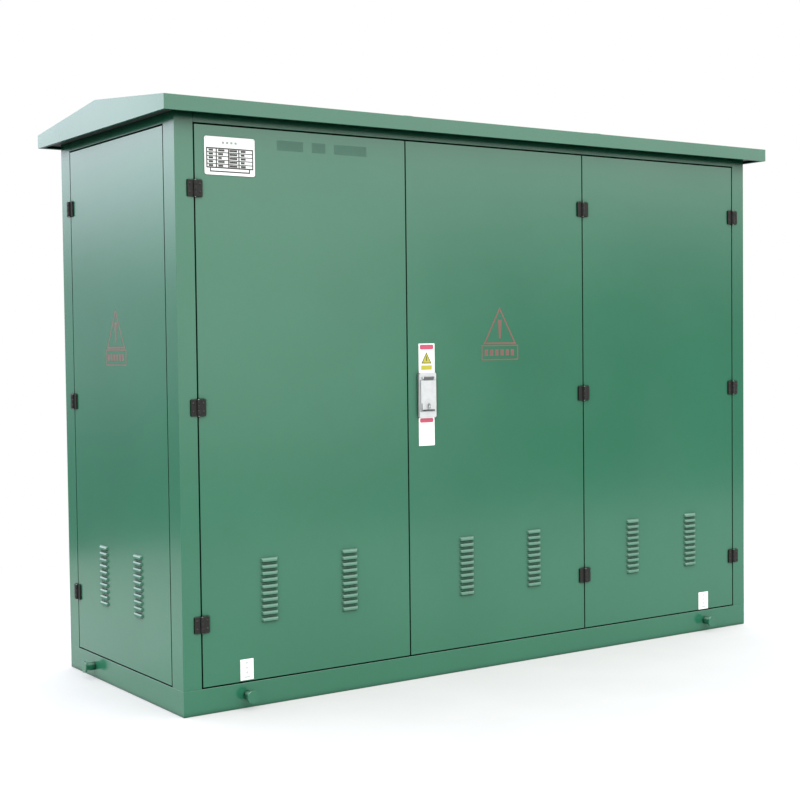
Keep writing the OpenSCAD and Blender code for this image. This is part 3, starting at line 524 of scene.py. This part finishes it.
def make_emblem(name, face, body, cu):
    """Faded stencil: a triangle with a plain bar in it, over a box with six blocks."""
    faded = print_ink("faded_" + name, srgb(112, 76, 68), wear=0.5, under=green)
    u0, u1 = cu - 84, cu + 84
    v0, v1, foot = 1110, 1165, 1168
    outer = triangle_outline(cu, foot, 150, 134, 0)
    inner = triangle_outline(cu, foot, 150, 134, 6)
    box_ring = (box_outline(u0, v0, u1, v1), box_outline(u0 + 4, v0 + 4, u1 - 4, v1 - 4))
    bar = [(cu - 4, foot + 20), (cu + 4, foot + 20), (cu + 9, foot + 88), (cu - 9, foot + 88)]
    prints(name + "_lines", face, body, faded, [(outer, inner), box_ring, bar])
    blocks = [box_outline(u, v0 + 16, u + 15, v0 + 39) for u in range(u0 + 14, u0 + 158, 24)]
    prints(name + "_field", face, body, faded, blocks)


def make_door_bars():
    """Row of plain stencilled bars near the top of the left leaf."""
    ink = print_ink("stencil_green", srgb(50, 96, 78), wear=0.35, under=green)
    u, v0, v1, space = -908, 1806, 1838, 34
    bars = []
    for length in (98, 52, 128):
        bars.append(round_outline(u, v0, u + length, v1, 3, 3))
        u += length + space
    prints("stencil_bars", front, "left_door", ink, bars)


def make_nameplate():
    """Thin aluminium plate with a blank table on it, held by four rivets."""
    u0, u1, v0, v1 = extent("nameplate")
    thick = (front_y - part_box("nameplate")[0].y) / MM
    bm = bmesh.new()
    plate(bm, front, round_outline(u0, v0, u1, v1, 7), 0, thick)
    blank = finish_mesh("nameplate_blank", bm, materials["plate_white"], "left_door",
                        bevel=0.0003)
    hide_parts("nameplate")
    dark = print_ink("table_dark", srgb(48, 46, 42), wear=0.15)
    grey = print_ink("table_grey", srgb(150, 155, 150), wear=0.3)
    # the table, with its last row a little narrower
    t0, t1, s0, s1 = u0 + 6, u1 - 6, v0 + 9, v0 + 86
    wide = t1 - t0
    rows, rule = 6, 4.2
    step = (s1 - s0 - rule) / rows
    lines = [(box_outline(t0, s0 + step, t1, s1),
              box_outline(t0 + rule, s0 + step + rule, t1 - rule, s1 - rule)),
             (box_outline(t0 + 12, s0, t1 - 12, s0 + step),
              box_outline(t0 + 12 + rule, s0 + rule, t1 - 12 - rule, s0 + step - 0.2))]
    lines += [box_outline(t0 + rule, s0 + row * step, t1 - rule, s0 + row * step + rule * 0.7)
              for row in range(2, rows)]
    columns = [box_outline(t0 + wide * part, s0 + step + rule, t0 + wide * part + rule, s1 - rule)
               for part in (0.2, 0.46, 0.68)]
    for row in range(1, rows):
        v = s0 + row * step + rule * 0.7 + 2
        dashes = ((0.05, 16), (0.25, 13 + 5 * (row % 3)), (0.49, 28), (0.73, 14 + 4 * (row % 2)))
        for part, length in dashes:
            u = t0 + wide * part
            lines.append(box_outline(u, v, u + length, v + step - rule - 1.5))
    prints("nameplate_table", front, "left_door", dark, lines, thick)
    # prouder than the rows, so that no two faces share a plane where they cross
    prints("nameplate_columns", front, "left_door", dark, columns, thick, INK * 1.4)
    heads = [box_outline(u0 + 62 + 15 * i, v1 - 22, u0 + 70 + 15 * i, v1 - 15) for i in range(4)]
    prints("nameplate_heading", front, "left_door", grey, heads, thick)
    inset, radius = 5.5, 2.6
    bm = bmesh.new()
    for u in (u0 + inset, u1 - inset):
        for v in (v0 + inset, v1 - inset):
            at = Matrix.Translation(front.at(u, v, thick))
            bmesh.ops.create_uvsphere(bm, u_segments=16, v_segments=8, radius=radius * MM,
                                      matrix=at @ Matrix.Diagonal((1, 0.45, 1, 1)))
    finish_mesh("nameplate_rivets", bm, materials["bright_steel"], "left_door")


def make_lock_labels():
    """Two blank stickers above and below the lock, with colour bands but no words."""
    white = print_ink("label_white", srgb(236, 240, 236), wear=0.08)
    red = print_ink("label_red", srgb(186, 72, 98), wear=0.15)
    yellow = print_ink("label_yellow", srgb(176, 170, 44), wear=0.1)
    olive = print_ink("label_olive", srgb(84, 80, 36), wear=0.15)
    grey = print_ink("label_grey", srgb(206, 212, 208), wear=0.1)
    body = "centre_door"
    prints("upper_label", front, body, white, [round_outline(-355, 1071, -287, 1173, 2, 3)], 0, VINYL)
    prints("upper_label_band", front, body, red, [round_outline(-350, 1152, -292, 1169, 6)], VINYL)
    outer, inner = (triangle_outline(-322, 1103, 44, 40, inset) for inset in (0, 3))
    prints("upper_label_triangle", front, body, yellow,
           [inner, box_outline(-345, 1081, -299, 1097)], VINYL)
    prints("upper_label_outline", front, body, olive,
           [(outer, inner), box_outline(-324, 1112, -320, 1128)], VINYL + INK)
    prints("lower_label", front, body, white, [round_outline(-357, 816, -290, 915, 2, 3)], 0, VINYL)
    prints("lower_label_band", front, body, red, [round_outline(-352, 897, -295, 912, 5)], VINYL)
    lines = [box_outline(-350, v, -350 + w, v + 3.4)
             for v, w in ((884, 50), (874, 54), (864, 46), (850, 54), (840, 38), (828, 50))]
    prints("lower_label_lines", front, body, grey, lines, VINYL)


def make_lock_marks():
    """Dark hinge sleeve and edge line of the lock's flap, a black strip on its lower lip painted as
    the shadow under it, and a black ring painted as the shadow in the gap round it.
    """
    u0, u1, v0, v1 = extent("lock_flap")
    body = "lock_cover_flap"
    shade = moulded("sleeve_grey", (0.11, 0.115, 0.115), rough=0.6)
    radius = (FLAP_BARREL + 0.4) * MM
    axis = front.at((u0 + u1) / 2, v1 - FLAP_BARREL, FLAP_AXIS)
    bm = bmesh.new()
    bmesh.ops.create_cone(bm, cap_ends=True, segments=24, radius1=radius, radius2=radius,
                          depth=43.6 * MM,
                          matrix=Matrix.Translation(axis) @ Matrix.Rotation(math.radians(90), 4, "Y"))
    plate(bm, front, box_outline(u0 + 9.2, v1 - 13, u1 - 9.2, v1 - 5), FLAP_PROUD, FLAP_PROUD + INK)
    finish_mesh("flap_hinge_sleeve", bm, shade, body)
    bm = bmesh.new()
    # a black strip over the flap's lower lip, painted as the shadow that the lip casts
    plate(bm, front, box_outline(u0 + 6.5, v0 + 1.4, u1 - 6.5, v0 + 5.6), FLAP_PROUD, FLAP_PROUD + 3.5)
    finish_mesh("flap_grip_shadow", bm, materials["jet"], body, bevel=0.0004)
    prints("flap_edge_line", front, body, materials["jet"],
           [box_outline(u0 + 1.5, v0 + 2, u0 + 4.5, v0 + 28)], FLAP_PROUD)
    # the black ring is painted shadow in the gap round the flap; it stops short of the hinge, so that
    # the lifting flap stays clear of it
    prints("flap_gap_shadow", front, "centre_door", materials["jet"],
           [(box_outline(u0 - 1.2, v0 - 1.2, u1 + 1.2, v1 - 11),
             box_outline(u0 + 1, v0 + 1, u1 - 1, v1 - 14))], LOCK_PLATE_PROUD)


# ---------- inside the kiosk ----------

def bays():
    """Middle of each switchgear bay, in mm."""
    low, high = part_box("mechanism_panels")
    width = (high.x - low.x) / BAYS
    return [(low.x + (i + 0.5) * width) / MM for i in range(BAYS)]


def domes(name, face, body, material, centres, radius, proud, flat):
    """Rounded caps standing on the face, flat times as deep as they are wide."""
    bm = bmesh.new()
    for u, v in centres:
        squash = Matrix.Diagonal([flat if abs(n) > 0.5 else 1 for n in face.out] + [1])
        bmesh.ops.create_uvsphere(bm, u_segments=20, v_segments=10, radius=radius * MM,
                                  matrix=Matrix.Translation(face.at(u, v, proud)) @ squash)
    return finish_mesh(name, bm, material, body)


def make_panel_marks():
    """Lamps, windows, position marks and single-line symbols on the switchgear panels."""
    panel = front_of("mechanism_panels")
    body = "enclosure"
    black = print_ink("mimic_black", srgb(34, 34, 36), wear=0.08)
    blue = print_ink("mimic_blue", srgb(40, 84, 150), wear=0.08)
    red = print_ink("mimic_red", srgb(176, 40, 34), wear=0.08)
    steel = materials["bright_steel"]
    lamp_v, counter_v, shaft_v, bushing_v, arrow_v = 1130, 1030, 900, 812, 756
    lines, marks, stops, lamps, counters = [], [], [], ([], [], []), []
    for u in bays():
        # the busbar, and the line down from it between the lamps, counter, shaft and cable
        lines.append(box_outline(u - 150, 1196, u + 150, 1202))
        lines += [box_outline(u - 2, v0, u + 2, v1)
                  for v0, v1 in ((1148, 1196), (1056, 1104), (952, 1004), (742, 846))]
        marks.append((disc_outline(u, bushing_v, 15), disc_outline(u, bushing_v, 12)))
        marks.append([(u - 11, arrow_v), (u + 11, arrow_v), (u, arrow_v - 18)])
        stops += [box_outline(u + 52, shaft_v - 6, u + 72, shaft_v + 6),
                  box_outline(u - 72, shaft_v - 6, u - 52, shaft_v + 6)]
        for lamp, du in zip(lamps, (-80, 0, 80)):
            lamp.append((u + du, lamp_v))
        counters.append(box_outline(u - 60, counter_v - 20, u + 60, counter_v + 20))
    prints("mimic_lines", panel, body, black, lines, 0, PANEL_INK)
    prints("mimic_symbols", panel, body, blue, marks, 0, PANEL_INK)
    prints("shaft_stops", panel, body, red, stops, 0, PANEL_INK)
    for name, centres in zip(("lamp_red", "lamp_amber", "lamp_green"), lamps):
        domes(name + "_caps", panel, body, materials[name], centres, 8.4, 0, 0.7)
    # the counters lie in their windows, behind the panel's face
    prints("counter_panes", panel, body, materials["dial_white"], counters, -3, 1.5)
    digits = [box_outline(u + 10 * k - 42, counter_v - 10, u + 10 * k - 35, counter_v + 10)
              for u in bays() for k in range(8)]
    prints("counter_wheels", panel, body, black, digits, -1.5, PANEL_INK)
    screws = [(u + du, v) for u in bays() for du in (-185, 185) for v in (735, 980, 1225)]
    domes("panel_screws", panel, body, steel, screws, *SCREW)
    screws = [(u + du, v) for u in bays() for du in (-185, 185) for v in (112, 400, 700)]
    domes("cover_screws", panel, body, steel, screws, *SCREW)
    panes = [box_outline(u - 76, 554, u + 76, 646) for u in bays()]
    prints("cable_window_panes", panel, body, materials["clear_pane"], panes, -5, 2.5)


def make_shaft_marks():
    """White pointer and two screws on the disc of each operating shaft."""
    radius, behind = 40, -9  # the disc, and its face seen from the shaft's end, mm
    for number in range(1, BAYS + 1):
        name = "switch_shaft_%d" % number
        body = "shaft_%d" % number
        disc = front_of(name)
        u0, u1, v0 = extent(name)[:3]
        cu, cv = (u0 + u1) / 2, v0 + radius
        prints("shaft_pointer_%d" % number, disc, body, materials["dial_white"],
               [[(cu - 4, cv + 23), (cu + 4, cv + 23), (cu, cv + 38)]], behind, PANEL_INK)
        domes("shaft_screws_%d" % number, disc, body, materials["bright_steel"],
              [(cu - 29, cv), (cu + 29, cv)], 4, behind, 0.5)


def make_cabinet_details():
    """Window, latch and screws of the control cabinet's cover, and the modules' fronts."""
    cover = front_of("control_cabinet_cover")
    u0, u1, _, v1 = extent("control_cabinet_cover")
    body = "enclosure"
    w0, w1, low, high = u0 + 142, u1 - 142, 1132, 1348
    prints("cabinet_pane", cover, body, materials["clear_pane"],
           [box_outline(w0, low, w1, high)], -5, 2.5)
    prints("cabinet_window_trim", cover, body, materials["seal_rubber"],
           [(round_outline(w0 - 2, low - 2, w1 + 2, high + 2, 14),
             round_outline(w0 + 10, low + 10, w1 - 10, high - 10, 8))], 0, 3)
    domes("cabinet_screws", cover, body, materials["bright_steel"],
          [(u, v) for u in (u0 + 14, u1 - 14) for v in (110, 560, 1010, v1 - 22)], *SCREW)
    bm = bmesh.new()
    plate(bm, cover, round_outline(u1 - 66, 700, u1 - 36, 800, 8), 0, 4)
    plate(bm, cover, round_outline(u1 - 59, 716, u1 - 43, 784, 7), 4, 16)
    finish_mesh("cabinet_latch", bm, materials["jet"], body, bevel=0.0012)

    unit = front_of("control_modules")
    u0, v0, u1, v1 = 700, 1225, 850, 1300
    prints("terminal_screen", unit, body, materials["screen"], [box_outline(u0, v0, u1, v1)], 0, 1.2)
    prints("terminal_bezel", unit, body, materials["jet"],
           [(round_outline(u0 - 10, v0 - 10, u1 + 10, v1 + 10, 5), round_outline(u0, v0, u1, v1, 1))],
           0, 3)
    keys = []
    for k in range(9):
        u, v = 885 + 34 * (k % 3), 1222 + 28 * (k // 3)
        keys.append(round_outline(u, v, u + 24, v + 18, 3))
    prints("terminal_keys", unit, body, materials["dial_white"], keys, 0, 3)
    status = [(645, 1180 + 18 * k) for k in range(7)]
    domes("terminal_lamps", unit, body, materials["lamp_green"], status, 3.6, 0, 0.7)
    row = range(700, 986, 22)
    blocks = [box_outline(u, 1120, u + 17, 1160) for u in row]
    prints("terminal_blocks", unit, body, materials["lamp_green"], blocks, 0, 9)
    domes("terminal_block_screws", unit, body, materials["bright_steel"],
          [(u + 8.5, 1130) for u in row], 4, 9, 0.5)


def make_end_details():
    """Pressure gauge on the gas tank's end, and screws and vents on the cabinet's end."""
    tank_end = Face((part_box("gas_tank")[0].x, 0, 0), (0, -1, 0), (-1, 0, 0))
    body = "enclosure"
    cu, cv, valve_v = -130, 1000, 910
    depth, face = 24, 16  # of the gauge's rim and of its dial, mm from the tank
    bm = bmesh.new()
    ring(bm, tank_end, disc_outline(cu, cv, 46, 48), disc_outline(cu, cv, 39, 48), 0, depth)
    plate(bm, tank_end, disc_outline(cu, valve_v, 11, 6), 0, 16)
    plate(bm, tank_end, disc_outline(cu, valve_v, 6), 16, 26)
    finish_mesh("gauge_case", bm, materials["tank_steel"], body, bevel=0.0012)
    prints("gauge_face", tank_end, body, materials["dial_white"],
           [disc_outline(cu, cv, 40, 48)], 0, face)
    marks = []
    for k in range(11):
        a = math.radians(-135 + 27 * k)
        du, dv = math.sin(a), math.cos(a)
        marks.append([(cu + du * r + dv * w, cv + dv * r - du * w)
                      for r, w in ((28, -0.8), (36, -0.8), (36, 0.8), (28, 0.8))])
    needle = [(cu - 2, cv - 6), (cu + 2, cv - 6), (cu + 16, cv + 26)]
    prints("gauge_marks", tank_end, body, materials["jet"], marks + [needle], face, 0.5)
    domes("gauge_zone", tank_end, body, materials["lamp_green"], [(cu, cv - 20)], 4, face, 0.3)

    low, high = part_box("control_cabinet")
    cabinet_end = Face((high.x, 0, 0), (0, 1, 0), (1, 0, 0))
    u0, u1, v1 = low.y / MM, high.y / MM, high.z / MM
    rows = range(1250, 1406, 26)
    slots = [round_outline(u0 + 150, v, u1 - 150, v + 9, 4) for v in rows]
    prints("cabinet_vents", cabinet_end, body, materials["jet"], slots, 0, 0.6)
    rims = [(round_outline(u0 + 146, v - 4, u1 - 146, v + 13, 5),
             round_outline(u0 + 151, v + 1, u1 - 151, v + 8, 3)) for v in rows]
    prints("cabinet_vent_rims", cabinet_end, body, materials["panel_grey"], rims, 0, 2.4)
    domes("cabinet_end_screws", cabinet_end, body, materials["bright_steel"],
          [(u, v) for u in (u0 + 20, u1 - 20) for v in (115, 560, 1010, v1 - 25)], *SCREW)


def make_document_pocket():
    """Folded sheet pocket with blank papers on the inside of the left leaf."""
    inside = Face((0, front_y + SHEET * MM, 0), (1, 0, 0), (0, 1, 0))
    left, right = extent("door_left_skin")[:2]
    cu = (left + right) / 2
    u0, u1, v0, v1, deep, wall = cu - 130, cu + 130, 860, 1010, 25, 1.5
    bm = bmesh.new()
    plate(bm, inside, box_outline(u0, v0, u1, v1), deep - wall, deep)
    for edge in ((u0, v0, u0 + wall, v1), (u1 - wall, v0, u1, v1), (u0, v0, u1, v0 + wall)):
        plate(bm, inside, box_outline(*edge), 0.3, deep)
    finish_mesh("document_pocket", bm, materials["green_paint"], "left_door")
    bm = bmesh.new()
    for k in range(3):
        sheet = box_outline(cu - 105 + 3 * k, 862, cu + 105 - 2 * k, 1072 - 5 * k)
        plate(bm, inside, sheet, 3 + 2.5 * k, 4.5 + 2.5 * k)
    finish_mesh("pocket_papers", bm, materials["dial_white"], "left_door")


def make_leaf_screws():
    """Two screw heads on each half of the outer leaves' hinges."""
    black = materials["hinge_black"]
    left, _, bottom, top = extent("door_left_skin")
    right = extent("door_right_skin")[1]
    rows = [(bottom + top) / 2 + HINGE_PITCH * k + dv for k in (-1, 0, 1) for dv in (-13, 13)]
    out = 18  # from the gap's middle to the screws, mm
    fixed = []
    for gap, body, way in ((left - LEAF_GAP / 2, "left_door", 1),
                           (right + LEAF_GAP / 2, "right_door", -1)):
        domes(body + "_hinge_screws", front, body, black,
              [(gap + way * out, v) for v in rows], *HINGE_SCREW)
        fixed += [(gap - way * out, v) for v in rows]
    domes("frame_hinge_screws", front, "enclosure", black, fixed, *HINGE_SCREW)


def make_roof_seams():
    """Two lap seams with rivets, from each eave up to the ridge."""
    seam_x, half_wide, sunk, proud = 0.4275, 0.016, 0.001, 0.0011
    low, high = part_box("roof_cover")
    eave = low.z + ROOF_EDGE * MM
    half = (high.y - low.y) / 2
    slope = (high.z - eave) / half
    lap, rivets = bmesh.new(), bmesh.new()
    for x in (-seam_x, seam_x):
        for way in (-1, 1):
            points = []
            for y in (half - 0.003, 0.02):
                z = eave + (half - y) * slope
                points += [(x - half_wide, way * y, z), (x + half_wide, way * y, z)]
            corners = [lap.verts.new((px, py, pz - sunk)) for px, py, pz in points]
            corners += [lap.verts.new((px, py, pz + proud)) for px, py, pz in points]
            for quad in ((0, 1, 3, 2), (0, 1, 5, 4), (1, 3, 7, 5),
                         (3, 2, 6, 7), (2, 0, 4, 6), (4, 5, 7, 6)):
                lap.faces.new([corners[i] for i in quad])
            for k in range(6):
                y = half - 0.04 - k * (half - 0.1) / 5
                spot = Matrix.Translation((x, way * y, eave + (half - y) * slope + proud))
                bmesh.ops.create_uvsphere(rivets, u_segments=16, v_segments=8, radius=0.0045,
                                          matrix=spot @ Matrix.Diagonal((1, 1, 0.4, 1)))
    finish_mesh("roof_seams", lap, materials["green_paint"], "enclosure")
    finish_mesh("roof_rivets", rivets, materials["green_paint"], "enclosure")


def make_low_labels():
    """Narrow blank stickers at the foot of the outer leaves."""
    white = print_ink("tag_white", srgb(238, 241, 238), wear=0.06)
    grey = print_ink("tag_grey", srgb(186, 190, 190), wear=0.3)
    for name, body, u0, u1, v0, v1 in (("left_tag", "left_door", -1072, -1024, 91, 159),
                                       ("right_tag", "right_door", 1011, 1064, 88, 157)):
        prints(name, front, body, white, [box_outline(u0, v0, u1, v1)], 0, VINYL)
        cu = (u0 + u1) / 2
        marks = [[(cu, v - 6), (cu + 6, v), (cu, v + 6), (cu - 6, v)]
                 for v in (v0 + 24, v0 + 40, v0 + 56)]
        marks.append(box_outline(cu - 10, v0 + 7, cu + 10, v0 + 12))
        prints(name + "_marks", front, body, grey, marks, VINYL)


make_camera()
make_world()
make_floor()
dress_cad_nodes()
make_nameplate()
make_door_bars()
make_lock_labels()
make_low_labels()
make_lock_marks()
make_panel_marks()
make_shaft_marks()
make_cabinet_details()
make_leaf_screws()
make_end_details()
make_document_pocket()
make_roof_seams()
make_emblem("centre_emblem", front, "centre_door", 5)
make_emblem("left_emblem", left_side, "side_door_left", -8)
make_emblem("right_emblem", right_side, "side_door_right", -8)
